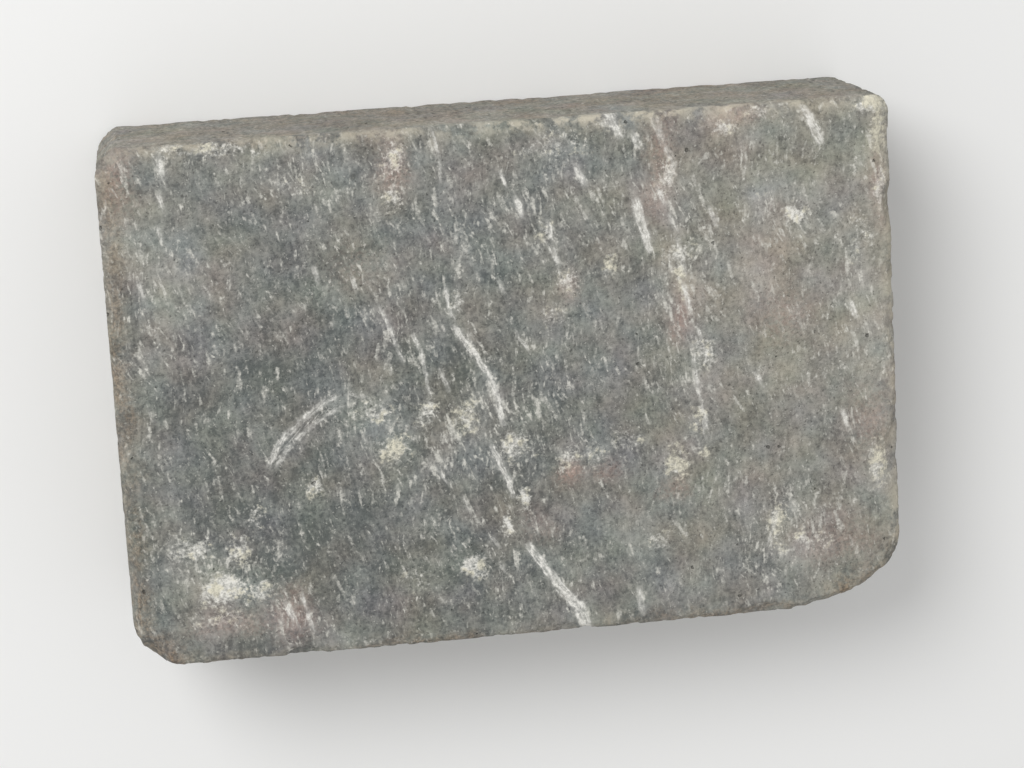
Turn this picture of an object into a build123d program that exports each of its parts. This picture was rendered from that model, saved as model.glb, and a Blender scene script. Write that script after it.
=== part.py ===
from build123d import *
import math
import os

# A tumbled concrete paving stone: one dry-pressed block of dyed concrete, rumbled in a drum after it had
# set, so that its upright corners are worn back unevenly, its arrises are rounded over and shallow chips
# are missing from them. Millimetres. The origin is at the middle of the bed face, +X runs along the length,
# +Y points to the back of the stone and +Z is up. The top is the face that is walked on.

# The block as it left the press
length = 240.0
width = 160.0
height = 60.0

# How far each upright corner is worn back, along the length and along the width
front_left_wear_x = 16.0
front_left_wear_y = 17.0
front_right_wear_x = 35.0
front_right_wear_y = 23.0
back_left_wear_x = 8.0
back_left_wear_y = 10.0
back_right_wear_x = 4.5
back_right_wear_y = 5.5

# Radius of the rounding along the arrises of the top and of the bed
top_arris_radius = 3.0
bed_arris_radius = 2.4

# An ordinary chip: how far it spans and how deep it bites
chip_span = 16.0
chip_depth = 1.5

# The four upright corners: the quarter that each one lies in and its two set-backs
corners = {
    "front_left": (-1, -1, front_left_wear_x, front_left_wear_y),
    "front_right": (1, -1, front_right_wear_x, front_right_wear_y),
    "back_left": (-1, 1, back_left_wear_x, back_left_wear_y),
    "back_right": (1, 1, back_right_wear_x, back_right_wear_y),
}

# The four sides: the way each one faces and the two corners that end its straight stretch
sides = {
    "front": (Vector(0, -1, 0), "front_left", "front_right"),
    "back": (Vector(0, 1, 0), "back_left", "back_right"),
    "left": (Vector(-1, 0, 0), "front_left", "back_left"),
    "right": (Vector(1, 0, 0), "front_right", "back_right"),
}

# Chips along the straight arrises of the top: the side, the share of its straight stretch from the first
# corner, span and depth in ordinary chips, and the angle above level from which the blow came
top_arris_chips = [
    ("back", 0.05, 0.8, 0.7, 50),
    ("back", 0.18, 1.9, 1.1, 62),
    ("back", 0.33, 0.8, 0.6, 40),
    ("back", 0.45, 1.5, 0.9, 58),
    ("back", 0.66, 0.6, 1.0, 55),
    ("back", 0.77, 1.0, 1.3, 66),
    ("back", 0.84, 0.8, 0.9, 48),
    ("back", 0.92, 0.6, 0.9, 60),
    ("right", 0.93, 1.5, 1.5, 60),
    ("right", 0.79, 0.9, 1.1, 35),
    ("right", 0.51, 1.1, 0.6, 50),
    ("right", 0.18, 1.5, 1.3, 58),
    ("front", 0.95, 1.2, 0.9, 52),
    ("front", 0.77, 0.9, 0.7, 60),
    ("front", 0.62, 0.6, 0.8, 48),
    ("front", 0.48, 1.1, 0.6, 56),
    ("front", 0.34, 0.6, 0.6, 55),
    ("front", 0.19, 0.9, 0.9, 45),
    ("left", 0.08, 2.4, 1.3, 36),
    ("left", 0.41, 1.0, 0.7, 52),
    ("left", 0.70, 0.7, 0.8, 44),
    ("left", 0.93, 1.4, 1.3, 58),
]

# Chips along the straight arrises of the bed, given in the same way, with the angle below level
bed_arris_chips = [
    ("back", 0.26, 1.3, 0.8, 48),
    ("back", 0.61, 2.0, 1.1, 42),
    ("back", 0.87, 0.8, 0.7, 55),
    ("right", 0.29, 1.4, 1.0, 40),
    ("right", 0.77, 0.8, 0.7, 52),
    ("front", 0.90, 1.1, 0.9, 46),
    ("front", 0.57, 0.8, 0.7, 38),
    ("front", 0.25, 1.9, 1.2, 44),
    ("left", 0.25, 0.9, 0.7, 50),
    ("left", 0.65, 1.6, 1.0, 42),
]

# Chips out of the eight points of the block: the corner, its end, the direction round the corner from
# along the length (0) to along the width (90), span and depth as above, and the angle away from level
point_chips = [
    ("front_left", "top", 48, 0.9, 1.2, 40),
    ("front_left", "bed", 52, 1.1, 1.3, 44),
    ("front_right", "top", 78, 2.6, 1.2, 30),
    ("front_right", "top", 58, 1.9, 0.9, 34),
    ("front_right", "top", 30, 1.0, 0.6, 45),
    ("front_right", "bed", 40, 0.9, 1.0, 38),
    ("back_left", "top", 40, 1.1, 1.7, 52),
    ("back_left", "bed", 46, 0.8, 1.1, 46),
    ("back_right", "top", 36, 0.7, 0.9, 42),
    ("back_right", "bed", 50, 1.0, 1.4, 40),
]

# Chips out of the upright arrises: the corner, the share of the height, the direction round the corner,
# span and depth
upright_chips = [
    ("front_left", 0.62, 40, 1.0, 0.9),
    ("front_right", 0.36, 55, 1.3, 1.1),
    ("back_left", 0.48, 48, 1.1, 1.0),
    ("back_right", 0.66, 42, 0.8, 0.8),
    ("back_right", 0.30, 50, 0.6, 0.7),
]


def stretch_end(side, corner):
    # The point of the plan where the straight stretch of a side runs into a worn corner
    facing = sides[side][0]
    east, north, wear_x, wear_y = corners[corner]
    if facing.Y:
        return Vector(east * (length / 2 - wear_x), north * width / 2)
    return Vector(east * length / 2, north * (width / 2 - wear_y))


def worn_plan():
    # The plan of the stone: four straight stretches joined by quarter ellipses, one at each worn corner
    with BuildSketch() as plan:
        with BuildLine():
            for east, north, wear_x, wear_y in corners.values():
                middle = (east * (length / 2 - wear_x), north * (width / 2 - wear_y))
                start = math.degrees(math.atan2(north, east)) - 45
                EllipticalCenterArc(middle, wear_x, wear_y, start, arc_size=90)
            for side, (facing, first, last) in sides.items():
                Line(stretch_end(side, first), stretch_end(side, last))
        make_face()
    return plan.sketch


def rounding(radius):
    # An arris is rounded by its radius, unless the plan bends more tightly than that at some corner
    tightest = min(min(corner[2:]) ** 2 / max(corner[2:]) for corner in corners.values())
    return min(radius, 0.9 * tightest)


def worn_block():
    # The block before it is chipped: its plan at full height, with the top and bed arrises rounded over
    block = extrude(worn_plan(), amount=height)
    block = fillet(block.faces().sort_by(Axis.Z)[-1].edges(), rounding(top_arris_radius))
    return fillet(block.faces().sort_by(Axis.Z)[0].edges(), rounding(bed_arris_radius))


def corner_point(corner, turn):
    # The point of a worn corner's ellipse that faces the given direction, and that direction, both level
    east, north, wear_x, wear_y = corners[corner]
    c, s = math.cos(math.radians(turn)), math.sin(math.radians(turn))
    reach = math.hypot(wear_x * c, wear_y * s)
    x = length / 2 - wear_x + wear_x**2 * c / reach
    y = width / 2 - wear_y + wear_y**2 * s / reach
    return Vector(east * x, north * y), Vector(east * c, north * s)


def scoop(place, outward, span, depth):
    # The ball that takes a chip out of the surface at a place that faces outward. Its radius follows from
    # the chip's span and depth, and only the cap that reaches below the surface is inside the stone.
    span, depth = span * chip_span, depth * chip_depth
    radius = (span**2 / 4 + depth**2) / (2 * depth)
    return Pos(*(place + outward * (radius - depth))) * Sphere(radius)


def arris_scoop(place, facing, end, span, depth, lean):
    # A chip in the rounded arris above or below a point of the plan that faces a level direction
    if end == "top":
        radius, up, level = rounding(top_arris_radius), 1, height - rounding(top_arris_radius)
    else:
        radius, up, level = rounding(bed_arris_radius), -1, rounding(bed_arris_radius)
    lean = math.radians(lean)
    outward = facing * math.cos(lean) + Vector(0, 0, up * math.sin(lean))
    centre = place - facing * radius + Vector(0, 0, level)
    return scoop(centre + outward * radius, outward, span, depth)


def arris_chip(end, side, share, span, depth, lean):
    facing, first, last = sides[side]
    start, finish = stretch_end(side, first), stretch_end(side, last)
    return arris_scoop(start + (finish - start) * share, facing, end, span, depth, lean)


def point_chip(corner, end, turn, span, depth, lean):
    place, facing = corner_point(corner, turn)
    return arris_scoop(place, facing, end, span, depth, lean)


def upright_chip(corner, share, turn, span, depth):
    place, facing = corner_point(corner, turn)
    return scoop(place + Vector(0, 0, share * height), facing, span, depth)


def paving_stone():
    chips = [arris_chip("top", *chip) for chip in top_arris_chips]
    chips += [arris_chip("bed", *chip) for chip in bed_arris_chips]
    chips += [point_chip(*chip) for chip in point_chips]
    chips += [upright_chip(*chip) for chip in upright_chips]
    return worn_block() - chips


stone = paving_stone()
stone.label = "paving_stone"

os.makedirs("parts", exist_ok=True)
export_step(stone, "parts/paving_stone.step")
print("volume", round(stone.volume), "mm3, size", stone.bounding_box().size)
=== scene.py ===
import bpy
import numpy as np
from mathutils import Matrix, Vector


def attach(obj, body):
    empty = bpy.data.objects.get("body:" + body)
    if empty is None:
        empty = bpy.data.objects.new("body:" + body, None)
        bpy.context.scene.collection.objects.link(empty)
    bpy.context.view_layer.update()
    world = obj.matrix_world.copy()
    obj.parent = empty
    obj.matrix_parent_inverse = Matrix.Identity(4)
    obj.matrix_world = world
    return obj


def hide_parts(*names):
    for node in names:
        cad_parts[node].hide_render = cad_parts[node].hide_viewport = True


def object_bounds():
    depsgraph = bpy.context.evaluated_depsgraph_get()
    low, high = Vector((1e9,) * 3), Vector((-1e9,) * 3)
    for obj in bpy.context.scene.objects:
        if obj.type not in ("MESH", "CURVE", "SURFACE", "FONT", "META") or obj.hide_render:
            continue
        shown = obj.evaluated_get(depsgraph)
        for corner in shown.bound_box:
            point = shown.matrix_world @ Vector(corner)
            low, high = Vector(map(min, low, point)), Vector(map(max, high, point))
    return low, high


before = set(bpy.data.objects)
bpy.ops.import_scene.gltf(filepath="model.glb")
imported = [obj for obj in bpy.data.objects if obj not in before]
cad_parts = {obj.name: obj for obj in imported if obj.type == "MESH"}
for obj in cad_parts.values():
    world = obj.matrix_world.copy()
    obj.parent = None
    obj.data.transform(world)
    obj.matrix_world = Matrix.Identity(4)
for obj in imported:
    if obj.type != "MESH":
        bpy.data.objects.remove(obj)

# Lengths in the dictionaries are millimetres, measured on the worn face from its middle: x to the right
# end, y to the back side, both as the camera sees them. Meshes and camera are in metres, as the frame is.
mm = 0.001
cadLow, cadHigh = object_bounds()

# The stone: what a user would change about its mesh, its relief and how its marks lie
stone = {
    "node": "paving_stone",
    "slot": "concrete",
    "facesAlong": 284,            # faces along and across the worn face, even numbers
    "facesAcross": 188,
    "arrisRadius": (3.0, 2.4),    # top and bed
    "arrisSteps": (7, 4),
    "sideSteps": 31,
    "cornerWear": {               # by the corner's side in x and y, how far it is worn back along them
        (-1, -1): (16.0, 17.0), (1, -1): (35.0, 23.0), (-1, 1): (8.0, 10.0), (1, 1): (4.5, 5.5),
    },

    # relief
    "swell": (0.14, 42.0),        # height and size of the slow waves of the pressed faces
    "ripple": (0.06, 9.0),        # and of smaller waves on them
    "sand": (0.40, 2.2),          # height and size of the sand grain
    "rubbed": 0.08,               # how far a grain may stand proud before tumbling rubbed it off
    "voids": [(0.30, 4.6, 0.25, 0.9), (0.90, 12.0, 0.26, 2.1)],  # depth, spacing, share of cells, radius
    "voidBell": (1.0, 0.2),       # parts of its radius at which a void starts and is full
    "voidEdge": (0.35, 1.6),      # how uneven its radius is, and over what length
    "voidsHeld": (0.6, 1.6),      # share of the voids on the flat faces, and what the sides add to it
    "voidDepthForFullShade": 0.4,              # how deep a void is where its painted shade and dirt are full
    "drag": (0.14, 2.6),          # height and spacing of the mould's upright drag lines on the sides
    "dragRise": 0.06,             # how fast they change upwards, where sideways is 1
    "crumble": (1.10, 5.5),       # how deep the arrises crumble, and over what length
    "crumbleEdge": (-0.1, 0.6),   # noise values at which the crumbling starts and is full
    "crumbleComes": 17.0,         # over what length it comes and goes
    "arrisGrain": (0.16, 1.7),    # height and size of the grain left on the worn arris
    "arrisReach": 2.6,            # how far from the top arris its wear falls to about a third
    "groove": 0.14,               # how deep a scratch of strength 1 is cut

    # how scratches fade, and how the other marks lie
    "scratchEnds": (-0.5, 4.0),   # how far in from its ends a scratch starts and is full
    "scratchCore": 0.6,           # the part of its half width that the next pair is measured from
    "scratchBeside": (1.0, 1.7),  # how far out from there it starts to fade and ends
    "scratchBorder": (0.2, 1.2),  # how many half widths nearer than the next one it starts and is full
    "scratchApart": 50.0,         # how far apart the patterns of two scratches start
    "markDepth": (6.0, 1.0),      # how far below the worn face its marks start and are full
    "markWander": (3.2, 10.0),    # how far the outlines of the marks wander, and over what length
    "busyBeside": (0.8, 3.0),     # how much a scratch counts as a busy place, and how far beside it
    "stainDown": 0.5,             # share of a stain that runs on over the arris and down the side
    "sideStain": (0.25, 0.30, 0.15),  # dirt on the sides: everywhere, in clouds, and more towards the bed
    "sideStainFrom": 0.95,        # share of the height below which there is more of it
    "sideTone": (0.25, 0.45),     # how much lighter and warmer the sides are
    "rimEverywhere": 0.25,        # how pale the arris is worn where no place below is near
}

# A number of its own for each noise and each kind of void
seeds = {
    "swell": 1, "ripple": 3, "sand": 5, "voids": (11, 18), "voidEdge": 17, "crumble": 21,
    "crumbleComes": 25, "arrisGrain": 29, "drag": 33, "markWander": (43, 47),
}

# Pale scratches on the worn face: half width and strength, each at both ends, and the points on the way.
# A strength above 1 fills the gaps that the grain leaves in the chalk.
scratches = [
    ((0.5, 0.5), (0.8, 0.8), [(-18.5, 33), (-18, 26), (-16, 20)]),
    ((0.75, 0.6), (2.6, 2.4), [(-17, 20), (-14, 15), (-10.5, 9.5), (-6.5, 2.5), (-5, -2), (-4, -8.5),
      (-3.3, -13)]),
    ((0.6, 0.55), (2.5, 2.4), [(-7.5, -18), (-5, -25), (-3, -29), (-1.5, -36)]),
    ((0.6, 0.5), (1.6, 1.4), [(-5, -41), (-2, -47)]),
    ((0.85, 1.45), (1.9, 2.5), [(1.5, -50), (7.5, -59), (11, -65), (17, -72), (19, -79), (20, -84)]),
    ((0.9, 0.8), (0.86, 0.62), [(-75.5, -20.5), (-73, -15), (-70, -10.5), (-64, -5.5), (-58, -1.5),
      (-52, 1.5)]),
    ((0.8, 0.5), (0.7, 0.42), [(-74, -20), (-69, -14), (-63, -9), (-57, -5), (-50, -2)]),
    ((0.4, 0.4), (0.29, 0.17), [(-53, 1.5), (-44, -0.5), (-38, -6)]),
    ((1, 0.7), (0.46, 0.52), [(47, 79), (50, 70), (53, 64), (50, 57)]),
    ((0.7, 0.9), (0.34, 0.52), [(50, 50), (53, 42), (54, 35), (55, 28)]),
    ((0.8, 0.7), (0.85, 0.6), [(54, 29), (55, 23), (56, 16)]),
    ((0.6, 0.5), (0.6, 0.62), [(56, 9), (56.5, 0), (57.5, -8), (59, -16), (60.5, -22)]),
    ((0.4, 0.4), (0.5, 0.4), [(57, -9), (58.5, -16), (59, -24)]),
    ((0.6, 0.6), (2.2, 2.2), [(58, 13), (59, 9)]),
    ((0.7, 0.6), (1.1, 0.9), [(47, 58), (49.5, 51)]),
    ((1.2, 0.9), (1.3, 1.2), [(33, 83), (35, 77), (37.5, 72)]),
    ((0.9, 1), (1, 0.9), [(40, 75), (43.5, 68)]),
    ((1.15, 0.75), (2.6, 2.2), [(40.3, 54.5), (42.3, 46), (44.5, 36.5)]),
    ((0.8, 1), (1.4, 2), [(92, 79), (95, 75), (98.5, 66)]),
    ((0.8, 0.8), (0.87, 0.58), [(-101, 78), (-100, 69)]),
    ((0.6, 0.5), (1, 0.8), [(-102, 67), (-100.5, 60)]),
    ((0.5, 0.5), (0.95, 0.8), [(-103, 57), (-101.5, 50)]),
    ((0.6, 0.5), (0.95, 0.8), [(-110, 41), (-108.5, 34)]),
    ((0.6, 0.5), (1.1, 0.9), [(0, 66), (2, 59)]),
    ((0.6, 0.6), (1.6, 1.8), [(13.5, 50), (14.5, 42)]),
    ((0.5, 0.5), (0.75, 0.5), [(-39, 28), (-36, 20), (-34, 13), (-32, 8)]),
    ((0.5, 0.5), (0.85, 0.45), [(-29.5, 19), (-27, 12), (-26, 4), (-25, -3)]),
    ((0.6, 0.4), (0.65, 0.6), [(-25, -23), (-20.5, -31)]),
    ((0.5, 0.5), (0.8, 0.6), [(-17.5, -33), (-15.5, -39)]),
    ((0.5, 0.5), (0.7, 0.6), [(-10, -46), (-6, -52)]),
    ((0.5, 0.5), (0.8, 0.7), [(-7.5, -54), (-5, -60)]),
    ((0.5, 0.4), (0.8, 0.6), [(1.5, 17), (3.5, 13), (6.5, 9)]),
    ((0.4, 0.4), (0.57, 0.4), [(-20, 80), (-18, 71), (-18, 62)]),
    ((0.8, 0.8), (0.72, 0.58), [(-74, -61), (-70, -71)]),
    ((0.6, 0.6), (0.63, 0.52), [(-69, -57), (-65, -75)]),
    ((0.9, 0.7), (1.1, 0.8), [(105, 19), (108, 11)]),
    ((0.8, 0.6), (0.87, 0.58), [(75, -1), (78, -9)]),
    ((0.8, 0.6), (0.87, 0.65), [(102, -15), (104, -23)]),
    ((0.9, 0.6), (0.65, 0.51), [(36, -66), (37, -78)]),
    ((0.7, 0.6), (0.57, 0.46), [(81, -46), (79, -53), (77, -60)]),
    ((0.8, 0.7), (1.3, 1.1), [(4, 58), (6.5, 50)]),
    ((0.8, 0.8), (0.65, 0.58), [(13, 44), (17, 34)]),
    ((0.6, 0.6), (0.51, 0.43), [(-110, 3), (-108, -4)]),
    ((0.8, 0.6), (0.8, 0.58), [(111, -34), (113, -41)]),
    ((0.6, 0.6), (0.65, 0.43), [(-47, 39), (-45, 31)]),
    ((0.8, 0.8), (1, 0.8), [(22, 67), (26, 58)]),
    ((0.8, 0.6), (0.72, 0.58), [(-58, 42), (-56, 34)]),
    ((0.6, 0.6), (0.65, 0.51), [(-3, 34), (0, 26)]),
    ((0.8, 0.6), (0.72, 0.51), [(62, 52), (66, 42)]),
    ((0.6, 0.6), (0.58, 0.51), [(-22, 8), (-19, -2)]),
    ((0.6, 0.6), (0.58, 0.43), [(-106, 27), (-105, 20)]),
]

# Places on the face are ellipses: middle, half length and half width, turn in degrees, strength.
# First the pale and cream patches.
patches = [
    (-38, -16, 6, 5, 0, 0.9), (-42, -5, 5, 3.5, 0, 0.75), (-13.5, -9, 4.8, 4.8, 20, 0.98),
    (-27, -6, 6, 4, 30, 0.78), (0, -20, 5, 4, 0, 1.1), (3, -37, 2, 4, 20, 1.3), (-4, -44, 3, 3, 0, 0.75),
    (54, 36, 4, 4, 0, 0.81), (33, 33, 2.5, 4, -15, 0.95), (90.5, 46, 3.6, 2.6, 5, 1.25),
    (80, 50, 3, 2.5, 0, 0.41), (-33, 70, 3.5, 6, 0, 0.81), (-34, 58, 3, 3, 0, 0.8),
    (18, 30, 4, 3.5, 0, 0.88), (12.5, 46, 2.2, 6, -8, 0.7), (-61, -28, 3, 4, 0, 1),
    (-15, -56, 4, 4.2, 0, 1.08), (17, -25, 5, 4, 10, 0.81), (50, -29, 4.5, 5.5, 0, 0.9),
    (80.5, -51, 3.2, 8.5, -5, 0.8), (89, -56.5, 2.4, 2.2, 0, 0.95), (-101, -43, 7, 5, -5, 0.86),
    (-86, -44, 4, 5.5, 0, 0.84), (-91, -57, 6.5, 5, -5, 1.6), (-80, -57, 5, 3.5, 0, 0.72),
    (-106, 27, 3, 4, 0, 0.47), (-59, 33, 3, 3, 0, 0.34), (-96, 79, 5, 2.5, 0, 0.81),
    (70, 73, 4, 2.6, 0, 0.95), (-15.5, 27, 2.5, 3.5, -20, 0.95), (114, 76, 6, 3, 0, 1.35),
    (117, 68, 3, 7, 0, 1.22), (117, 52, 2.5, 8, 0, 0.9), (-82, 77, 14, 2.5, 0, 0.61),
    (80, 77, 5, 2.5, 0, 0.55), (33, 78, 4, 2.5, 0, 0.68), (-81, -33, 4, 5, 0, 0.6),
    (25, -25, 4, 4, 0, 0.62), (35.5, -20, 5, 4, 0, 0.62), (109, 38, 4, 10, 0, 0.55),
    (114, -35, 3, 8, 0, 0.8), (96, -58, 5, 4, 0, 0.48), (18, 72, 14, 4, 0, 0.5), (-92, -66, 8, 4, 0, 0.5),
    (-34, -58, 6, 4, 0, 0.5), (44, -52, 5, 5, 0, 0.5), (54, 28, 2.4, 6, 6, 0.9), (49, 61, 3, 6, 0, 0.8),
    (60, 5, 4, 4.5, 0, 0.8), (57, -16, 2.2, 5, 6, 0.62), (60, -26, 2.6, 2.8, 0, 0.8),
    (14, 20, 4, 4, 0, 0.5), (-60, 65, 6, 5, 0, 0.45), (-12.5, 12.5, 1.4, 3.8, 32, 0.95),
]

# Where the patches are yellowish rather than white
yellows = [
    (-38, -17, 7, 7, 0, 1), (-13, -8, 8, 8, 0, 1), (33, 33, 6, 7, 0, 1), (12, 47, 6, 9, 0, 0.9),
    (50, -29, 8, 8, 0, 0.9), (54, 26, 6, 9, 0, 0.9), (82, -53, 10, 9, 0, 0.9), (115, 70, 12, 14, 0, 0.9),
    (-93, -58, 5, 5, 0, 0.5), (58, -16, 5, 10, 0, 0.8), (115, -35, 5, 10, 0, 0.9),
]

# Brown stains from the joint
stains = [
    (104, -76, 20, 6, 26, 1), (118, -64, 4, 9, 0, 0.5), (-117, 58, 4, 26, 0, 0.45),
    (-119, -57, 4, 32, 0, 0.8), (-113, -77, 11, 6, -42, 0.95), (120, 48, 2.5, 16, 0, 0.45),
    (85, 15, 9, 9, 0, 0.2), (113, -22, 6, 10, 0, 0.2), (-118, 12, 4, 42, 0, 0.62),
    (120, -5, 2, 30, 0, 0.25), (48, 71, 5, 8, 0, 0.25), (72, 75, 8, 4, 0, 0.35),
    (-20, -80, 70, 2.2, 0, 0.6), (65, -79, 30, 3, 0, 0.7), (-70, 80, 45, 2.5, 0, 0.35),
]

# Where the arris is worn pale
rims = [
    (-60, 80, 60, 8, 0, 0.6), (40, 80, 75, 8, 0, 0.85), (117, 74, 9, 14, 0, 1),
    (104, -72, 18, 7, 28, 0.6), (118, 10, 4, 70, 0, 0.55), (116, -48, 6, 16, 0, 0.8),
    (-118, 76, 8, 8, 0, 0.25), (-95, -79, 22, 4, 0, 0.2),
]

# Pinkish blushes in the face
blushes = [
    (-33, 68, 4, 9, 0, 0.75), (17, -29, 4, 4, 0, 0.9), (49, -37, 5, 4, 0, 0.45),
    (48, 64, 4, 14, -10, 0.6), (18, 29, 3.5, 3.5, 0, 0.6), (86, 14, 8, 9, 0, 0.45),
    (-72, -66, 8, 8, 0, 0.5), (112, -20, 8, 14, 0, 0.4), (100, -58, 14, 8, 0, 0.4),
    (73, 77, 9, 4, 0, 0.6), (116, 54, 3, 12, 0, 0.6), (-114, 70, 6, 11, 0, 0.6),
    (-45, 40, 10, 8, 0, 0.25), (53, 16, 3, 7, 0, 0.65), (28, -30, 5, 3, 0, 0.45), (6, -45, 6, 5, 0, 0.26),
    (-90, -68, 14, 4, 0, 0.45),
]

# Slow changes of tone: middle, half length and half width, how much lighter and how much warmer
toneZones = [
    (80, 42, 45, 48, 0.48, 0.65), (78, -32, 46, 36, 0.28, 0.35), (0, 42, 45, 36, 0.1, 0.05),
    (-78, -32, 40, 30, -0.06, -0.1), (-92, -34, 10, 7, -0.1, -0.1), (-67, -47, 10, 8, -0.1, -0.1),
    (-70, 42, 20, 14, -0.08, -0.1), (-82, 5, 22, 15, -0.32, -0.1), (20, -8, 26, 16, -0.12, -0.15),
    (-108, 36, 13, 34, 0.08, 0.1), (-116, 48, 5, 34, 0.14, 0.8), (-95, -61, 22, 12, 0.16, 0.1),
    (30, -62, 46, 16, 0.02, -0.2), (-101, 48, 12, 22, 0.44, 0.05), (114, 20, 8, 60, 0.5, 0.35),
    (96, 37, 5, 6, 0.25, 0.1), (111, -42, 7, 12, 0.28, 0.1), (95, -58, 9, 7, 0.25, 0.1),
    (-8, -14, 10, 8, 0.18, 0.05), (36, -21, 9, 6, 0.24, 0.15), (44, -50, 8, 9, 0.26, -0.05),
    (-26, -58, 16, 6, 0.22, 0), (-93, -70, 10, 9, 0.22, 0.1), (-62, 61, 12, 10, 0.26, 0),
    (13, 20, 9, 8, 0.22, 0.05), (17, 71, 16, 5, 0.25, 0), (68, 73, 8, 5, 0.2, 0.1),
    (33, -72, 8, 6, 0.2, -0.1), (77, 28, 10, 8, 0.22, 0.3), (-46, -30, 12, 8, -0.2, -0.1),
    (-20, -34, 8, 14, -0.1, -0.05), (46, 8, 9, 7, -0.26, -0.1), (-71, -53, 7, 4, -0.32, 0),
    (-80, -48, 6, 3, -0.35, 0), (63, 50, 6, 7, -0.2, 0), (71, -59, 8, 7, -0.14, -0.1),
    (-111, -42, 6, 12, -0.12, 0.1), (76, -29, 7, 6, -0.1, 0), (0, 52, 22, 9, -0.12, 0),
    (-24, -66, 10, 6, -0.3, 0), (-26, -43, 6, 6, -0.2, 0), (-20, 4, 4, 6, -0.3, 0),
    (-21, 42, 6, 7, -0.26, 0), (43, -7, 5, 6, -0.24, 0), (-38, 37, 6, 6, 0.24, 0),
    (31, 24, 4, 5, 0.28, 0), (-40, 63, 5, 7, 0.26, 0.05), (5, -45, 8, 7, 0.2, 0.3),
]

# Where scuffs crowd together
busyPlaces = [
    (-35, 25, 14, 34, -12, 0.6), (12, 50, 45, 22, 0, 0.45), (-14, -14, 34, 20, 0, 0.8),
    (-86, -51, 23, 12, 0, 0.9), (84, -50, 20, 14, 0, 0.8), (108, 5, 12, 55, 0, 0.4),
    (-110, 45, 9, 34, 0, 0.7), (55, 30, 10, 40, -8, 0.9), (-55, 68, 30, 9, 0, 0.6),
    (-72, -66, 10, 11, 0, 0.8), (-5, -52, 14, 18, 30, 0.7), (90, 40, 14, 12, 0, 0.6),
]


def hashedLattice(cell, seed):
    # a random share for each whole-number point: its three coordinates and the seed times large odd
    # numbers, added up and mixed by shifts and two more such factors, in 32 bits
    n = (cell[..., 0] * 374761393 + cell[..., 1] * 668265263 + cell[..., 2] * 2246822519 + seed * 974634777)
    n = n.astype(np.int64) & 0xFFFFFFFF
    n = ((n ^ (n >> 13)) * 1274126177) & 0xFFFFFFFF
    n = ((n ^ (n >> 16)) * 2654435761) & 0xFFFFFFFF
    return (n ^ (n >> 15)) / 2.0**32


def smoothNoise(points, size, seed):
    # a random value at each corner of cubes of the given size, blended between them by 6t^5 - 15t^4 + 10t^3
    cell = points / size
    base = np.floor(cell).astype(np.int64)
    t = cell - base
    t = t * t * t * (t * (t * 6 - 15) + 10)
    total = np.zeros(len(points))
    for corner in np.ndindex(2, 2, 2):
        weight = np.prod(np.where(np.array(corner) == 1, t, 1 - t), axis=1)
        total += weight * hashedLattice(base + np.array(corner), seed)
    return total * 2 - 1


def layeredNoise(points, size, layers, seed):
    # noises added up, each half the size and half the height of the one before
    total, height = np.zeros(len(points)), 1.0
    for layer in range(layers):
        total += height * smoothNoise(points, size / 2**layer, seed + layer)
        height /= 2
    return total / (2 - 2 * height)


def nearestSeed(points, size, seed):
    # cubes of the given size hold one seed point each: the distance to the nearest, and its random share
    cell = points / size
    base = np.floor(cell).astype(np.int64)
    nearest, share = np.full(len(points), np.inf), np.zeros(len(points))
    for step in np.ndindex(3, 3, 3):
        here = base + np.array(step) - 1
        place = here + np.stack([hashedLattice(here, seed + k) for k in range(3)], axis=1)
        away = np.linalg.norm(cell - place, axis=1)
        closer = away < nearest
        nearest = np.where(closer, away, nearest)
        share = np.where(closer, hashedLattice(here, seed + 3), share)
    return nearest * size, share


def softStep(low, high, value):
    # 0 at low and 1 at high, and 3t^2 - 2t^3 between them
    t = np.clip((value - low) / (high - low), 0, 1)
    return t * t * (3 - 2 * t)


halfLength, halfWidth = (cadHigh.x - cadLow.x) / 2 / mm, (cadHigh.y - cadLow.y) / 2 / mm
stoneHeight = (cadHigh.z - cadLow.z) / mm


def wornPlan(u, v, inset):
    # A square of -1 to 1 laid on the worn plan less an inset. Beyond a corner's two set-backs the square
    # rings max(p, q) become quarter ellipses: each point keeps its direction and its ring's radius.
    x, y = u * (halfLength - inset), v * (halfWidth - inset)
    for (east, north), (wearX, wearY) in stone["cornerWear"].items():
        a, b = wearX - inset, wearY - inset
        p, q = (x * east - halfLength + wearX) / a, (y * north - halfWidth + wearY) / b
        inCorner = (p > 0) & (q > 0)
        p, q = np.where(inCorner, p, 1), np.where(inCorner, q, 1)
        shrink = np.maximum(p, q) / np.hypot(p, q)
        x = np.where(inCorner, east * (halfLength - wearX + a * p * shrink), x)
        y = np.where(inCorner, north * (halfWidth - wearY + b * q * shrink), y)
    return x, y


def squareLoop(along, across):
    # the border of the square, once round against the clock, with that many steps on its sides
    low, high = -np.ones(1), np.ones(1)
    s, t = np.linspace(-1, 1, along + 1), np.linspace(-1, 1, across + 1)
    u = np.concatenate([s[:-1], high.repeat(across), s[:0:-1], low.repeat(across)])
    v = np.concatenate([low.repeat(along), t[:-1], high.repeat(along), t[:0:-1]])
    return u, v


def squareGrid(along, across):
    # all points of the square, row by row
    v, u = np.meshgrid(np.linspace(-1, 1, across + 1), np.linspace(-1, 1, along + 1), indexing="ij")
    return u.ravel(), v.ravel()


def gridNumbers(along, across):
    # the numbers of a grid's points, row by row
    return np.arange((along + 1) * (across + 1)).reshape(across + 1, along + 1)


def loopIndex(along, across):
    # the numbers of a grid's border points, in the order of squareLoop
    grid = gridNumbers(along, across)
    return np.concatenate([grid[0, :-1], grid[:-1, -1], grid[-1, :0:-1], grid[:0:-1, 0]])


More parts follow.
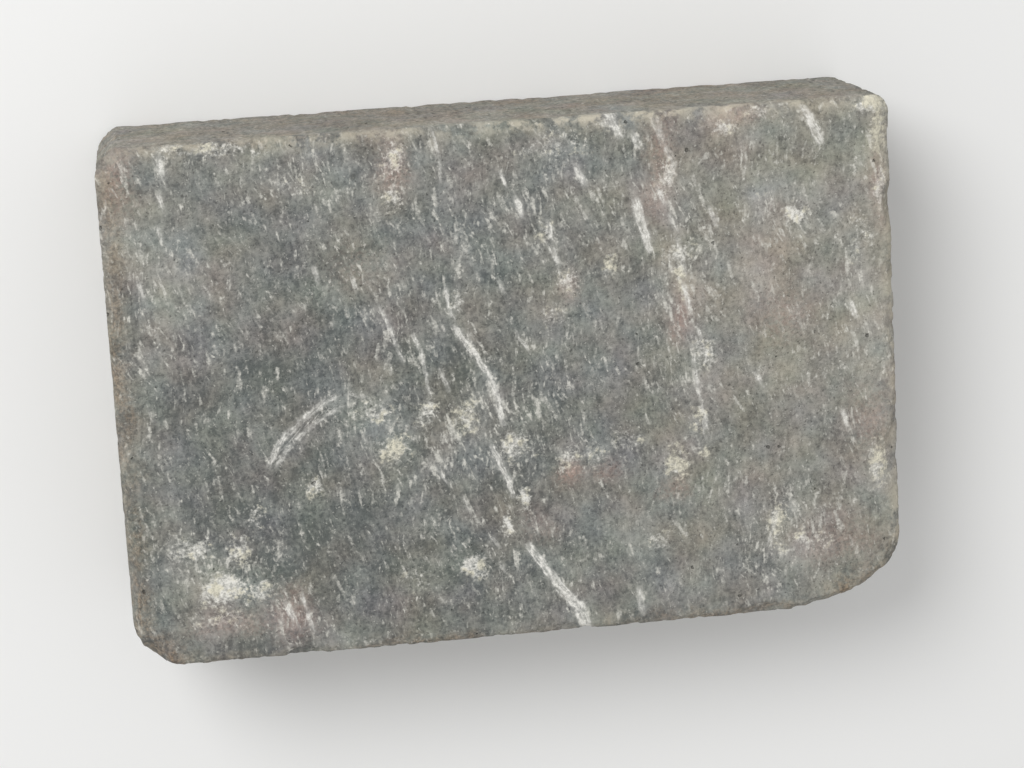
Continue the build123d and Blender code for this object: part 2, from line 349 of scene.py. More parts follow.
def gridFaces(along, across):
    # a face between each point of a grid, the next in its row and the two in the row after
    grid = gridNumbers(along, across)
    return np.stack([grid[:-1, :-1], grid[:-1, 1:], grid[1:, 1:], grid[1:, :-1]], axis=-1).reshape(-1, 4)


def ringFaces(loop, below):
    # a face between each point of a loop and the next, and the two under them
    return np.stack([loop, below, np.roll(below, -1), np.roll(loop, -1)], axis=1)


def halvingFaces(loop, below):
    # three triangles for every two steps of a loop above one step of a loop with half the points
    first, middle, last = loop[::2], loop[1::2], np.roll(loop[::2], -1)
    after = np.roll(below, -1)
    corners = ((first, below, middle), (middle, below, after), (middle, after, last))
    return [np.stack(three, axis=1) for three in corners]


def blockMesh():
    # The closed skin of the block, as a stack: the worn face is a square grid laid on the plan, the top
    # arris is loops of that plan drawn out by a sine as they sink by a cosine, then loops straight down
    # the sides with half the points, the bed arris, and a grid with half the points for the bed.
    along, across = stone["facesAlong"], stone["facesAcross"]
    (topRadius, bedRadius), (topSteps, bedSteps) = stone["arrisRadius"], stone["arrisSteps"]
    x, y = wornPlan(*squareGrid(along, across), topRadius)
    points, quads = [np.stack([x, y, np.full(x.size, stoneHeight)], axis=1)], [gridFaces(along, across)]
    triangles = []
    loop = loopIndex(along, across)
    count = x.size

    # each ring has its inset, its height and how many of the loop's points it skips
    turns = np.linspace(0, np.pi / 2, topSteps + 1)[1:]
    drops = np.linspace(stoneHeight - topRadius, bedRadius, stone["sideSteps"] + 2)[1:-1]
    rises = np.linspace(np.pi / 2, 0, bedSteps + 1)[:-1]
    rings = [(topRadius * (1 - np.sin(t)), stoneHeight - topRadius * (1 - np.cos(t)), 1) for t in turns]
    rings += [(0.0, z, 2) for z in drops]
    rings += [(bedRadius * (1 - np.sin(t)), bedRadius * (1 - np.cos(t)), 2) for t in rises]
    u, v = squareLoop(along, across)
    for inset, z, skip in rings:
        x, y = wornPlan(u[::skip], v[::skip], inset)
        points.append(np.stack([x, y, np.full(x.size, z)], axis=1))
        below = count + np.arange(x.size)
        if below.size == loop.size:
            quads.append(ringFaces(loop, below))
        else:
            triangles += halvingFaces(loop, below)
        loop, count = below, count + x.size

    # the bed's inner points come first, then its border
    along, across = along // 2, across // 2
    x, y = wornPlan(*squareGrid(along, across), bedRadius)
    border = loopIndex(along, across)
    inner = np.ones(x.size, bool)
    inner[border] = False
    number = np.empty(x.size, int)
    number[inner] = count + np.arange(inner.sum())
    number[border] = count + inner.sum() + np.arange(border.size)
    bed = np.stack([x, y, np.zeros(x.size)], axis=1)
    points += [bed[inner], bed[border]]
    quads.append(number[gridFaces(along, across)][:, ::-1])
    quads.append(ringFaces(loop, number[border]))
    return np.concatenate(points), np.concatenate(quads), np.concatenate(triangles)


def addObject(name, data):
    made = bpy.data.objects.new(name, data)
    bpy.context.scene.collection.objects.link(made)
    return made


def meshObject(name, points, faces):
    mesh = bpy.data.meshes.new(name)
    mesh.from_pydata((points * mm).tolist(), [], faces)
    mesh.update()
    mesh.polygons.foreach_set("use_smooth", np.ones(len(mesh.polygons), bool))
    return addObject(name, mesh)


def readRows(items, name):
    # the three numbers of each item, as rows
    out = np.empty(len(items) * 3)
    items.foreach_get(name, out)
    return out.reshape(-1, 3)


def setPoints(mesh, points):
    mesh.vertices.foreach_set("co", (points * mm).ravel())
    mesh.update()


def settleOn(piece, node):
    # the skin is drawn on to the block's own solid, so that every worn corner and chip lies where it is
    wrap = piece.modifiers.new("settle", "SHRINKWRAP")
    wrap.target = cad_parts[node]
    wrap.wrap_method = "NEAREST_SURFACEPOINT"
    drawn = piece.evaluated_get(bpy.context.evaluated_depsgraph_get()).to_mesh()
    points = readRows(drawn.vertices, "co") / mm
    piece.to_mesh_clear()
    piece.modifiers.remove(wrap)
    setPoints(piece.data, points)


def planMargin(points):
    # how far a point lies inside the worn plan: the least distance to its straight sides, and within a
    # corner the share left of the ellipse's radius, times the smaller set-back
    x, y = points[:, 0], points[:, 1]
    margin = np.minimum(halfLength - np.abs(x), halfWidth - np.abs(y))
    for (east, north), (wearX, wearY) in stone["cornerWear"].items():
        p, q = (x * east - halfLength + wearX) / wearX, (y * north - halfWidth + wearY) / wearY
        inCorner = (p > 0) & (q > 0)
        margin = np.where(inCorner, np.minimum(margin, (1 - np.hypot(p, q)) * min(wearX, wearY)), margin)
    return np.maximum(margin, 0)


def arrisShare(points):
    # e to the power of minus the distance from the top arris, counted in the reach of its wear
    return np.exp(-np.hypot(planMargin(points), stoneHeight - points[:, 2]) / stone["arrisReach"])


def scratchField(x, y):
    # For the scratch that lies nearest, counted in its half widths: how far off its middle a point is,
    # signed by side, how far along it, its half width and its strength there. The last two go evenly from
    # end to end, and the strength fades at the ends, beside the scratch and towards the next one.
    nearest, second = np.full(x.size, np.inf), np.full(x.size, np.inf)
    across, along = np.zeros(x.size), np.zeros(x.size)
    wide, strong = np.ones(x.size), np.zeros(x.size)
    for number, ((wideFirst, wideLast), (strongFirst, strongLast), path) in enumerate(scratches):
        steps = np.hypot(*np.diff(np.array(path, float), axis=0).T)
        starts = np.concatenate([[0.0], np.cumsum(steps)])
        off, side, run = np.full(x.size, np.inf), np.ones(x.size), np.zeros(x.size)
        for (ax, ay), (bx, by), start, step in zip(path[:-1], path[1:], starts, steps):
            dx, dy = (bx - ax) / step, (by - ay) / step
            t = np.clip((x - ax) * dx + (y - ay) * dy, 0, step)
            here = np.hypot(x - ax - t * dx, y - ay - t * dy)
            closer = here < off
            off = np.where(closer, here, off)
            side = np.where(closer, np.sign((y - ay) * dx - (x - ax) * dy), side)
            run = np.where(closer, start + t, run)
        halfWide = wideFirst + (wideLast - wideFirst) * run / starts[-1]
        strength = strongFirst + (strongLast - strongFirst) * run / starts[-1]
        strength = strength * softStep(*stone["scratchEnds"], np.minimum(run, starts[-1] - run))
        strength = strength * (1 - softStep(*stone["scratchBeside"], off - stone["scratchCore"] * halfWide))
        ratio = off / halfWide
        closer = ratio < nearest
        second = np.where(closer, nearest, np.minimum(second, ratio))
        nearest = np.where(closer, ratio, nearest)
        across = np.where(closer, off * side, across)
        along = np.where(closer, run + stone["scratchApart"] * number, along)
        wide = np.where(closer, halfWide, wide)
        strong = np.where(closer, strength, strong)
    return across, along, wide, strong * softStep(*stone["scratchBorder"], second - nearest)


def patchShare(x, y, cx, cy, rx, ry, turn):
    # 1 at the middle of a turned ellipse, falling as a bell to about a third at its edge
    c, s = np.cos(np.radians(turn)), np.sin(np.radians(turn))
    p, q = ((x - cx) * c + (y - cy) * s) / rx, ((y - cy) * c - (x - cx) * s) / ry
    return np.exp(-(p * p + q * q))


def strongestShare(x, y, places):
    # the largest of the places' bells times their strengths
    share = np.zeros(len(x))
    for *place, strength in places:
        np.maximum(share, strength * patchShare(x, y, *place), out=share)
    return share


def surfaceMarks(points, near):
    # the shares that the finish reads, each worked out for all points of the skin at once
    startDepth, fullDepth = stone["markDepth"]
    top = softStep(stoneHeight - startDepth, stoneHeight - fullDepth, points[:, 2])
    side = 1 - top
    reach, size = stone["markWander"]
    wide = np.stack([layeredNoise(points, size, 3, seed) for seed in seeds["markWander"]], axis=1)
    wx, wy = (points[:, :2] + reach * wide).T
    across, along, halfWide, strong = scratchField(points[:, 0], points[:, 1])
    light, warm = np.zeros(len(points)), np.zeros(len(points))
    for *place, lighter, warmer in toneZones:
        share = patchShare(wx, wy, *place, 0)
        light += lighter * share
        warm += warmer * share
    mostBusy, busyReach = stone["busyBeside"]
    besideScratch = np.minimum(strong, mostBusy) * np.exp(-((across / busyReach) ** 2))
    low = softStep(stoneHeight * stone["sideStainFrom"], 0, points[:, 2])
    everywhere, inClouds, towardsBed = stone["sideStain"]
    sideStain = side * (everywhere + inClouds * wide[:, 0] + towardsBed * low)
    stain = strongestShare(wx, wy, stains) * np.maximum(top, stone["stainDown"])
    lighterSide, warmerSide = stone["sideTone"]
    return {
        "across": across,
        "along": along,
        "halfWide": halfWide,
        "scratch": strong * top,
        "dust": strongestShare(wx, wy, patches) * top,
        "yellow": strongestShare(wx, wy, yellows),
        "blush": strongestShare(wx, wy, blushes) * top,
        "busy": np.maximum(strongestShare(wx, wy, busyPlaces), besideScratch) * top,
        "stain": np.maximum(stain, sideStain),
        "lightness": light * top + side * lighterSide,
        "warmth": warm * top + side * warmerSide,
        "rim": near * (stone["rimEverywhere"] + strongestShare(wx, wy, rims)),
        "side": side,
    }


def relief(points, normals, near, marks):
    # How far the skin stands out, in millimetres: slow waves, sand grain rubbed level by the tumbling and
    # twice as high on the sides, voids as upturned bells, drag lines up the sides, crumbled arrises and
    # the grooves of the scratches. The second result is how much painted shade and dirt a void gets at a
    # point, by its depth.
    (waveHigh, waveSize), (rippleHigh, rippleSize) = stone["swell"], stone["ripple"]
    sandHigh, sandSize = stone["sand"]
    side = 1 - np.abs(normals[:, 2])
    grain = sandHigh * (1 + side) * layeredNoise(points, sandSize, 2, seeds["sand"])
    out = np.minimum(grain, stone["rubbed"] * (1 + side))
    waves = waveHigh * smoothNoise(points, waveSize, seeds["swell"])
    out += waves + rippleHigh * smoothNoise(points, rippleSize, seeds["ripple"])

    # the voids, from half size up with their share, and larger and more of them on the sides
    (onFaces, onSides), (uneven, edgeSize) = stone["voidsHeld"], stone["voidEdge"]
    hollow = np.zeros(len(points))
    for (depth, spacing, held, radius), seed in zip(stone["voids"], seeds["voids"]):
        away, share = nearestSeed(points, spacing, seed)
        large = 0.5 + 0.5 * share / held
        size = radius * large * (1 + uneven * smoothNoise(points, edgeSize, seeds["voidEdge"]))
        bell = softStep(*stone["voidBell"], away / size) * (share < held * (onFaces + onSides * side))
        hollow = np.maximum(hollow, depth * large * bell)
    out -= hollow
    dragHigh, dragSize = stone["drag"]
    out += side * dragHigh * smoothNoise(points * (1, 1, stone["dragRise"]), dragSize, seeds["drag"])

    deep, length = stone["crumble"]
    grainHigh, grainSize = stone["arrisGrain"]
    broken = softStep(*stone["crumbleEdge"], layeredNoise(points, length, 3, seeds["crumble"]))
    comes = 0.5 + 0.5 * smoothNoise(points, stone["crumbleComes"], seeds["crumbleComes"])
    out -= near * deep * broken * comes
    out += near * grainHigh * smoothNoise(points, grainSize, seeds["arrisGrain"])
    out -= stone["groove"] * marks["scratch"] * np.exp(-((marks["across"] / marks["halfWide"]) ** 2))
    return out, np.clip(hollow / stone["voidDepthForFullShade"], 0, 1)


def makeStone():
    points, quads, triangles = blockMesh()
    piece = meshObject("worn_stone", points, quads.tolist() + triangles.tolist())
    print("stone skin:", len(points), "points,", 2 * len(quads) + len(triangles), "triangles")
    settleOn(piece, stone["node"])
    points = readRows(piece.data.vertices, "co") / mm
    normals = readRows(piece.data.vertex_normals, "vector")
    near = arrisShare(points)
    marks = surfaceMarks(points, near)
    out, marks["hollow"] = relief(points, normals, near, marks)
    low, high = np.array(cadLow) / mm, np.array(cadHigh) / mm
    setPoints(piece.data, np.clip(points + normals * out[:, None], low, high))
    for name, share in marks.items():
        layer = piece.data.attributes.new(name, "FLOAT", "POINT")
        layer.data.foreach_set("value", share.astype(np.float32))
    print("stone relief and marks done")
    return piece


def addNode(tree, kind, settings=None, inputs=None):
    # a node with its settings, and with its inputs set to numbers and colours or linked from sockets
    made = tree.nodes.new("ShaderNode" + kind)
    for name, value in (settings or {}).items():
        setattr(made, name, value)
    for name, value in (inputs or {}).items():
        if isinstance(value, bpy.types.NodeSocket):
            tree.links.new(value, made.inputs[name])
        else:
            made.inputs[name].default_value = value
    return made


def maths(tree, operation, *values, clamp=False):
    settings = {"operation": operation, "use_clamp": clamp}
    return addNode(tree, "Math", settings, dict(enumerate(values))).outputs[0]


def weighted(tree, start, *parts):
    # a start plus each part times its weight
    for part, weight in parts:
        start = maths(tree, "MULTIPLY_ADD", part, weight, start)
    return start


def vectors(tree, operation, *values):
    # vector maths on one to three vectors
    return addNode(tree, "VectorMath", {"operation": operation}, dict(enumerate(values))).outputs["Vector"]


def noiseNode(tree, where, size, detail, rough=0.5):
    # lumps of that size in millimetres, with smaller layers that are each the rough share as strong
    inputs = {"Vector": where, "Scale": 1 / size, "Detail": detail, "Roughness": rough}
    return addNode(tree, "TexNoise", None, inputs)


def noise(tree, where, size, detail, rough=0.5):
    # the same as a share from 0 to 1, about a middle of 0.5
    return noiseNode(tree, where, size, detail, rough).outputs["Fac"]


def between(tree, value, low, high, toLow=0.0, toHigh=1.0):
    inputs = {"Value": value, "From Min": low, "From Max": high, "To Min": toLow, "To Max": toHigh}
    return addNode(tree, "MapRange", {"interpolation_type": "SMOOTHSTEP"}, inputs).outputs["Result"]


def blend(tree, share, a, b, mode="MIX"):
    # sockets 0, 6 and 7 take the share and the two colours, and 2 gives the blend
    made = addNode(tree, "Mix", {"data_type": "RGBA", "blend_type": mode, "clamp_factor": True})
    for socket, value in ((made.inputs[0], share), (made.inputs[6], a), (made.inputs[7], b)):
        if isinstance(value, bpy.types.NodeSocket):
            tree.links.new(value, socket)
        else:
            socket.default_value = value
    return made.outputs[2]


def attribute(tree, name):
    return addNode(tree, "Attribute", {"attribute_name": name}).outputs["Fac"]


def stretchedNoise(tree, where, degrees, sizes, rough=0.5):
    # noise with lumps of three sizes: coordinates turned about the upright axis, then counted in them
    spin = {"Vector": where, "Axis": (0.0, 0.0, 1.0), "Angle": float(np.radians(degrees))}
    spun = addNode(tree, "VectorRotate", {"rotation_type": "AXIS_ANGLE"}, spin).outputs["Vector"]
    return noise(tree, vectors(tree, "MULTIPLY", spun, tuple(1 / size for size in sizes)), 1.0, 2.0, rough)


def wandered(tree, where, reach, size):
    # coordinates shifted by up to the reach, to and fro over that size, both in millimetres
    shift = noiseNode(tree, where, size, 1.0).outputs["Color"]
    return vectors(tree, "MULTIPLY_ADD", shift, (reach,) * 3, where)


def mottled(tree, share, grain, least):
    # a share broken up by a grain of 0 to 1, which leaves at least a part of it everywhere
    return maths(tree, "MULTIPLY", share, weighted(tree, least, (grain, 1 - least)), clamp=True)


def colour(red, green, blue):
    # a colour read off as 0 to 255, as the linear share that the shader takes
    shares = np.array([red, green, blue]) / 255
    linear = np.where(shares <= 0.04045, shares / 12.92, ((shares + 0.055) / 1.055) ** 2.4)
    return (*linear.tolist(), 1.0)


# The finish. An edge is the pair of values between which a share goes from nothing to full, or back where
# they are distances. Least is the part of a share that stays where the grain breaks it.
concrete = {
    "sockets": {"Roughness": 0.9, "Specular IOR Level": 0.25},
    "noises": {                       # size, smaller layers, and their roughness
        "clouds": (24.0, 2.0, 0.6),
        "blotch": (8.0, 2.0, 0.6),
        "lumps": (3.2, 2.0, 0.6),
        "fleck": (1.3, 3.0, 0.7),
        "grit": (1.1, 3.0, 0.65),
        "finest": (0.45, 2.0),
    },
    "fleckEdge": (0.34, 0.66),
    "lean": -9.0,                     # degrees that strokes and scuffs lean off the width
    "sway": (12.0, 26.0),             # how far they wander, and over what length
    "strokes": ((1.6, 4.6, 2.5), 0.55),  # size across, along and down, and roughness
    "dragLines": (1.5, 1.5, 22.0),    # size on the sides, longest upwards

    # the skin
    "dark": colour(96, 99, 97),       # the dyed cement skin
    "pale": colour(186, 186, 178),    # the same, worn to the sand
    "warmDark": colour(104, 100, 92),
    "warmPale": colour(194, 188, 174),
    "wear": -1.035,                   # how worn the skin is before its parts are added
    "wearParts": {"clouds": 0.53, "blotch": 0.58, "strokes": 0.56, "grit": 0.60, "grain": 0.20,
                  "lightness": 0.50, "drag": 0.30},
    "hue": (15.0, 2.0),               # size and smaller layers of its changes
    "warmth": (-0.55, 1.3, 0.8),      # before, and the weights of the hue and of the marked zones
    "tint": (0.22, 0.11, 0.27),       # how far red, green and blue wander apart
    "blush": (colour(180, 150, 138), 0.85, 0.30),  # colour, strength, least

    # single grains of sand
    "grainSize": 0.85,
    "grainBend": (1.3, 1.2),          # how far their outlines wander, and over what length
    "grainEdge": (0.22, 0.42),        # off their middles, counted in their size
    "grain": colour(214, 212, 203),
    # dark grains of sand, and the painted shade with dirt in the pits and voids
    "speckAndShade": colour(58, 58, 55),
    "paleGrains": (0.92, 0.36),       # share of grains that aren't pale, and how pale the others are
    "darkGrains": (0.93, 0.45),       # and the same for dark ones

    # scuffs: how much further each kind leans, its size across and along, and the crest it starts at
    "scuffs": [(-3, (2.3, 8.5), 0.60), (6, (1.5, 5.0), 0.61), (-14, (1.1, 3.6), 0.63)],
    "scuffDepth": 3.0,                # size down the sides
    "scuffBase": -0.31,               # added to the crests, and then the weights of what else is
    "scuffParts": {"fleck": 0.34, "lumps": 0.16, "clouds": 0.10, "busy": 0.09},
    "scuffRise": 0.20,                # how far above its start a crest is full
    "scuffStrength": (0.75, 0.85),    # of one kind, and the most of all together
    "scuffSides": -0.6,               # what the sides add to 1
    "scuffLeast": 0.55,

    # chalky scratches
    "scratch": colour(238, 236, 229),
    "chalkWander": (1.6, 3.0, 3.0, 0.65),  # how far their edges wander, and the noise that moves them
    "chalkCourse": (1.3, 0.25),       # how fast their streaks change across and along
    "streakNoise": (3.0, 0.6),        # smaller layers and roughness
    "streakEdge": (0.36, 0.60),
    "chalkEdge": (0.4, 1.7, 1.2),     # half widths off the middle, and the strength inside them
    "hazeEdge": (1.0, 4.5, 0.14),     # the same of the haze around it
    "chalkLumps": (0.36, 0.54),
    "chalkLeast": (0.40, 0.36, 0.52),  # what lumps, streaks and flecks leave

    # the worn arris, and dust
    "cream": colour(206, 198, 179),
    "rim": ((6.0, 4.0, 0.7), (0.42, 0.58), 1.15, 0.06),  # noise, its edge, strength, least
    "dust": (colour(234, 232, 224), colour(225, 220, 200)),  # white and yellowish
    "dustBase": -1.42,                # and the weights of what is added to it
    "dustParts": {"dust": 0.88, "lumps": 1.0, "fleck": 1.9},
    "dustEdge": (0.25, 1.00),
    "dustFrom": (0.03, 0.30),         # marked shares from which dust can lie at all
    "dustGrit": (0.38, 0.58),
    "dustShare": (0.95, 0.48),        # strength, least
    "yellow": 0.16,                   # what a marked place adds to the lumps
    "yellowEdge": (0.50, 0.66),

    # brown stain out of the joints
    "stain": (colour(158, 136, 112), colour(88, 74, 60)),  # sand and damp dirt
    "stainClouds": ((4.0, 4.0, 0.7), (0.36, 0.62), 0.85, 0.15),  # as for the rim
    "dirtEdge": (0.40, 0.60),         # damp dirt lies where the grit is below these

    # pits between the grains, and painted shade with dirt in the pits and the voids
    "pitSpacing": 3.6,
    "pitted": (0.04, 0.40),           # share of the cells that hold a pit, on the worn face and the sides
    "pitSize": (0.04, 0.16, 0.06),    # least radius, what chance adds, what the sides add, in spacings
    "pitEdge": (0.55, 1.05),
    # how far the pits, and the voids by their depth, darken towards that colour: painted shade, with dirt
    "pitShadeAndDirt": 0.62,
    "voidShadeAndDirt": 0.50,

    # the finest relief: its height, and the weights of its parts
    "bump": 0.36,
    "bumpParts": {"grit": 0.8, "finest": 0.30, "inside": 0.22, "pit": -1.8},
}


def parted(parts, weights):
    # the parts that are named, each with its weight
    return [(parts[name], weight) for name, weight in weights.items()]


def skinColour(tree, parts):
    # wear of the skin: its parts added up and blended from dark to pale, cold and warm, as the hue wanders
    wear = weighted(tree, concrete["wear"], *parted(parts, concrete["wearParts"]))
    cold = blend(tree, wear, concrete["dark"], concrete["pale"])
    warm = blend(tree, wear, concrete["warmDark"], concrete["warmPale"])
    hue = noiseNode(tree, parts["where"], *concrete["hue"])
    start, byHue, byZone = concrete["warmth"]
    warmth = weighted(tree, start, (hue.outputs["Fac"], byHue), (attribute(tree, "warmth"), byZone))
    base = blend(tree, warmth, cold, warm)
    about = tuple(1 - tint / 2 for tint in concrete["tint"])
    tinted = vectors(tree, "MULTIPLY_ADD", hue.outputs["Color"], concrete["tint"], about)
    base = blend(tree, 1.0, base, tinted, "MULTIPLY")
    pink, strength, least = concrete["blush"]
    blush = mottled(tree, attribute(tree, "blush"), parts["flecks"], least)
    return blend(tree, maths(tree, "MULTIPLY", blush, strength), base, pink)


def scuffShare(tree, parts):
    # scuffs, most of them along the lean: the crests of stretched noises from long to short, where they
    # crowd, with edges broken by the grain
    each, most = concrete["scuffStrength"]
    total = 0.0
    for lean, sizes, start in concrete["scuffs"]:
        sizes = (*sizes, concrete["scuffDepth"])
        crest = stretchedNoise(tree, parts["swayed"], concrete["lean"] + lean, sizes)
        crest = weighted(tree, concrete["scuffBase"], (crest, 1.0), *parted(parts, concrete["scuffParts"]))
        total = weighted(tree, total, (between(tree, crest, start, start + concrete["scuffRise"]), each))
    total = maths(tree, "MULTIPLY", total, weighted(tree, 1.0, (parts["side"], concrete["scuffSides"])))
    return mottled(tree, maths(tree, "MINIMUM", total, most), parts["flecks"], concrete["scuffLeast"])


def chalkShare(tree, parts):
    # chalky lines along each scratch, softer and fainter beside it, broken by the grain
    reach, *wander = concrete["chalkWander"]
    across = weighted(tree, attribute(tree, "across"), (noise(tree, parts["where"], *wander), reach))
    across = maths(tree, "SUBTRACT", across, reach / 2)
    fastAcross, fastAlong = concrete["chalkCourse"]
    run = maths(tree, "MULTIPLY", attribute(tree, "along"), fastAlong)
    course = addNode(tree, "CombineXYZ", None, {"X": maths(tree, "MULTIPLY", across, fastAcross), "Y": run})
    streak = noise(tree, course.outputs["Vector"], 1.0, *concrete["streakNoise"])
    streak = between(tree, streak, *concrete["streakEdge"])
    ratio = maths(tree, "DIVIDE", maths(tree, "ABSOLUTE", across), attribute(tree, "halfWide"))
    core = between(tree, ratio, *concrete["chalkEdge"], 0.0)
    haze = between(tree, ratio, *concrete["hazeEdge"], 0.0)
    band = maths(tree, "MULTIPLY", maths(tree, "ADD", core, haze), attribute(tree, "scratch"))
    leastLumps, leastStreaks, leastFlecks = concrete["chalkLeast"]
    band = mottled(tree, band, between(tree, parts["lumps"], *concrete["chalkLumps"]), leastLumps)
    return mottled(tree, mottled(tree, band, streak, leastStreaks), parts["flecks"], leastFlecks)


def cloudyShare(tree, parts, mark, settings, edge, strength, least):
    # a marked share that lies in clouds or crumbs of noise
    clouds = between(tree, noise(tree, parts["where"], *settings), *edge)
    share = mottled(tree, attribute(tree, mark), clouds, least)
    return maths(tree, "MULTIPLY", share, strength, clamp=True)


def dustShare(tree, parts):
    # dust in the patches, where lumps and flecks are high enough for the marked share
    strength, least = concrete["dustShare"]
    dust = weighted(tree, concrete["dustBase"], *parted(parts, concrete["dustParts"]))
    near = between(tree, parts["dust"], *concrete["dustFrom"])
    dust = maths(tree, "MULTIPLY", between(tree, dust, *concrete["dustEdge"]), near)
    dust = mottled(tree, dust, between(tree, parts["grit"], *concrete["dustGrit"]), least)
    return maths(tree, "MULTIPLY", dust, strength)


def cellsOf(tree, where, size):
    # cells of that size: the distance from their middles, and three random shares each
    cells = addNode(tree, "TexVoronoi", None, {"Vector": where, "Scale": 1 / size})
    chance = addNode(tree, "SeparateColor", None, {"Color": cells.outputs["Color"]})
    return cells.outputs["Distance"], chance.outputs


def pitShare(tree, parts):
    # pits round the middles of some cells, by chance
    away, chance = cellsOf(tree, parts["bent"], concrete["pitSpacing"])
    face, sides = concrete["pitted"]
    without = weighted(tree, 1 - face, (parts["side"], face - sides))
    held = maths(tree, "GREATER_THAN", chance[0], without)
    least, byChance, bySide = concrete["pitSize"]
    radius = weighted(tree, least, (chance[1], byChance), (parts["side"], bySide))
    ratio = maths(tree, "DIVIDE", away, radius)
    return maths(tree, "MULTIPLY", held, between(tree, ratio, *concrete["pitEdge"], 1.0, 0.0))


def newMaterial(name, sockets):
    # a material, and its shader with those sockets set
    made = bpy.data.materials.new(name)
    made.use_nodes = True
    shader = made.node_tree.nodes["Principled BSDF"]
    for socket, value in sockets.items():
        shader.inputs[socket].default_value = value
    return made, shader


def concreteMaterial():
    made, shader = newMaterial("charcoal_concrete", concrete["sockets"])
    tree = made.node_tree

    # coordinates in millimetres, plain, swayed for strokes and bent for grains, and shares of 0 to 1
    place = addNode(tree, "TexCoord").outputs["Object"]
    where = addNode(tree, "VectorMath", {"operation": "SCALE"}, {"Vector": place, "Scale": 1 / mm})
    where = where.outputs["Vector"]
    swayed = wandered(tree, where, *concrete["sway"])
    bent = wandered(tree, where, *concrete["grainBend"])
    parts = {name: noise(tree, where, *settings) for name, settings in concrete["noises"].items()}
    parts.update({name: attribute(tree, name) for name in ("side", "lightness", "busy", "dust")})
    lines = stretchedNoise(tree, where, 0, concrete["dragLines"])
    parts.update({
        "where": where,
        "swayed": swayed,
        "bent": bent,
        "strokes": stretchedNoise(tree, swayed, concrete["lean"], *concrete["strokes"]),
        "drag": maths(tree, "MULTIPLY", maths(tree, "SUBTRACT", lines, 0.5), parts["side"]),
        "flecks": between(tree, parts["fleck"], *concrete["fleckEdge"]),
    })
    away, chance = cellsOf(tree, bent, concrete["grainSize"])
    parts["grain"] = chance[2]
    parts["inside"] = between(tree, away, *concrete["grainEdge"], 1.0, 0.0)
    parts["pit"] = pitShare(tree, parts)
    base = skinColour(tree, parts)

    # single grains of sand, a few pale and a few dark
    kinds = ((0, concrete["paleGrains"], concrete["grain"]), (1, concrete["darkGrains"], concrete["speckAndShade"]))
    for channel, (least, strength), paint in kinds:
        kind = maths(tree, "GREATER_THAN", chance[channel], least)
        kind = maths(tree, "MULTIPLY", maths(tree, "MULTIPLY", parts["inside"], kind), strength)
        base = blend(tree, kind, base, paint)

    base = blend(tree, scuffShare(tree, parts), base, concrete["grain"])
    base = blend(tree, cloudyShare(tree, parts, "rim", *concrete["rim"]), base, concrete["cream"])
    yellow = weighted(tree, 0.0, (parts["lumps"], 1.0), (attribute(tree, "yellow"), concrete["yellow"]))
    powder = blend(tree, between(tree, yellow, *concrete["yellowEdge"]), *concrete["dust"])
    base = blend(tree, dustShare(tree, parts), base, powder)
    base = blend(tree, chalkShare(tree, parts), base, concrete["scratch"])

    # brown stain out of the joints, sandy with damp dirt in it
    dirt = blend(tree, between(tree, parts["grit"], *concrete["dirtEdge"], 1.0, 0.0), *concrete["stain"])
    base = blend(tree, cloudyShare(tree, parts, "stain", *concrete["stainClouds"]), base, dirt)

    # painted shade with dirt inside the pits, and in the voids the deeper they are
    pitShadeAndDirt = maths(tree, "MULTIPLY", parts["pit"], concrete["pitShadeAndDirt"])
    voidShadeAndDirt = maths(tree, "MULTIPLY", attribute(tree, "hollow"), concrete["voidShadeAndDirt"])
    base = blend(tree, maths(tree, "MAXIMUM", pitShadeAndDirt, voidShadeAndDirt), base, concrete["speckAndShade"])
    tree.links.new(base, shader.inputs["Base Color"])

    # fine relief below the mesh: grit, the sand grains standing out of it, and the pits
    fine = weighted(tree, 0.0, *parted(parts, concrete["bumpParts"]))
    bump = addNode(tree, "Bump", None, {"Strength": 1.0, "Distance": concrete["bump"] * mm, "Height": fine})
    tree.links.new(bump.outputs["Normal"], shader.inputs["Normal"])
    return made


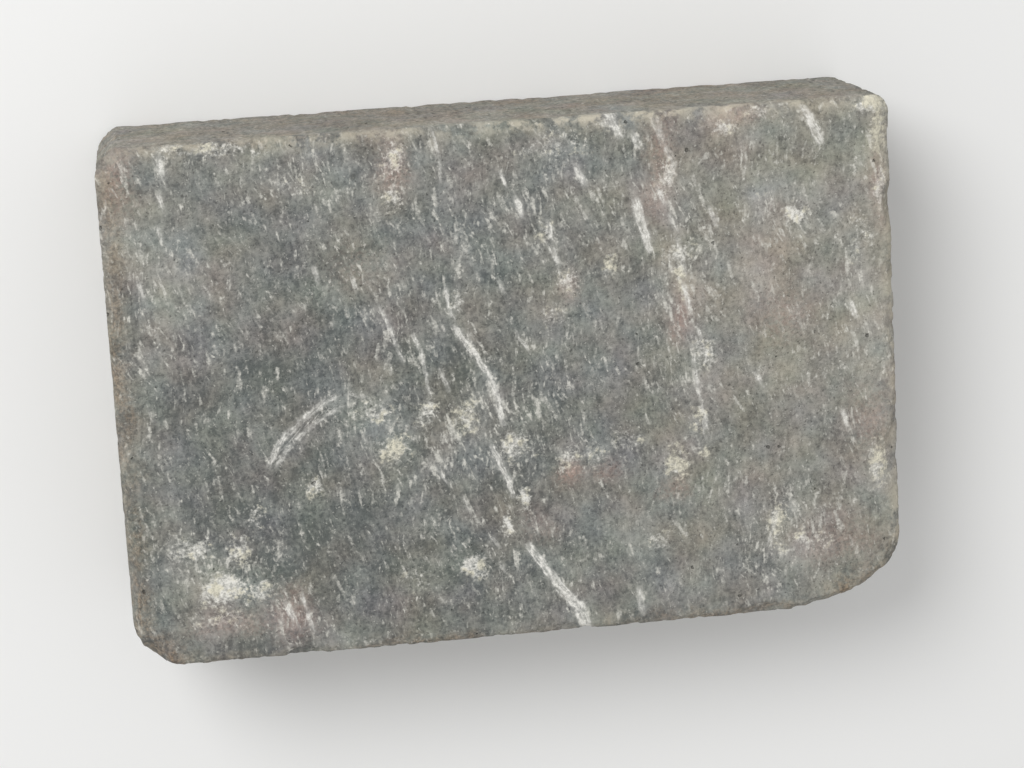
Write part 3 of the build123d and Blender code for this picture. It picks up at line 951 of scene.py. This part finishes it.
# The floor and the light
studio = {
    "floor": {"Base Color": (0.86, 0.86, 0.85, 1.0), "Roughness": 0.9},
    "floorSize": 6.0,               # metres, as the lamp's place and size are
    "skyColour": (1.0, 1.0, 1.0, 1.0),
    "sky": 0.62,
    "keyPlace": (-0.9, 1.0, 1.5),
    "keySize": 1.1,
    "keyPower": 22.0,               # watts
}


def makeFloor():
    # a flat square, the corners of -1 to 1 times half its size
    half = studio["floorSize"] / 2 / mm
    corners = np.array([(-1, -1, 0), (1, -1, 0), (1, 1, 0), (-1, 1, 0)], float) * half
    floor = meshObject("floor", corners, [(0, 1, 2, 3)])
    floor.data.materials.append(newMaterial("pale_floor", studio["floor"])[0])


def makeLight():
    world = bpy.data.worlds.new("soft_sky")
    bpy.context.scene.world = world
    world.use_nodes = True
    sky = world.node_tree.nodes["Background"]
    sky.inputs["Color"].default_value = studio["skyColour"]
    sky.inputs["Strength"].default_value = studio["sky"]
    lamp = bpy.data.lights.new("key", "AREA")
    lamp.shape, lamp.size, lamp.energy = "DISK", studio["keySize"], studio["keyPower"]
    key = addObject("key", lamp)
    key.location = studio["keyPlace"]
    key.rotation_euler = (-Vector(studio["keyPlace"])).to_track_quat("-Z", "Y").to_euler()


# The camera stands where the photograph was taken from, by the joints of the paving: 838 mm above the worn
# face, to its left and behind it. It is turned to the stone, and its lens lets the stone fill the frame.
eye = {
    "place": (-98.6, 183.6, 897.7),     # millimetres from the middle of the bed
    "target": (0.0, 0.0, 60.0),
    "up": (0.0471, 0.9968, 0.0647),
    "lens": 99.8,
}


def makeCamera():
    data = bpy.data.cameras.new("camera")
    data.lens = eye["lens"]
    camera = addObject("camera", data)
    place, target = Vector(eye["place"]) * mm, Vector(eye["target"]) * mm
    look = (target - place).normalized()
    right = look.cross(Vector(eye["up"])).normalized()
    turn = Matrix((right, right.cross(look), -look)).transposed()
    camera.matrix_world = Matrix.Translation(place) @ turn.to_4x4()
    bpy.context.scene.camera = camera


bpy.context.scene.view_settings.view_transform = "Standard"
wornStone = makeStone()
wornStone.data.materials.append(concreteMaterial())
print("stone finish done")
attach(wornStone, "root")
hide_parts(stone["node"])
makeFloor()
makeLight()
makeCamera()
print("floor, light and camera done")
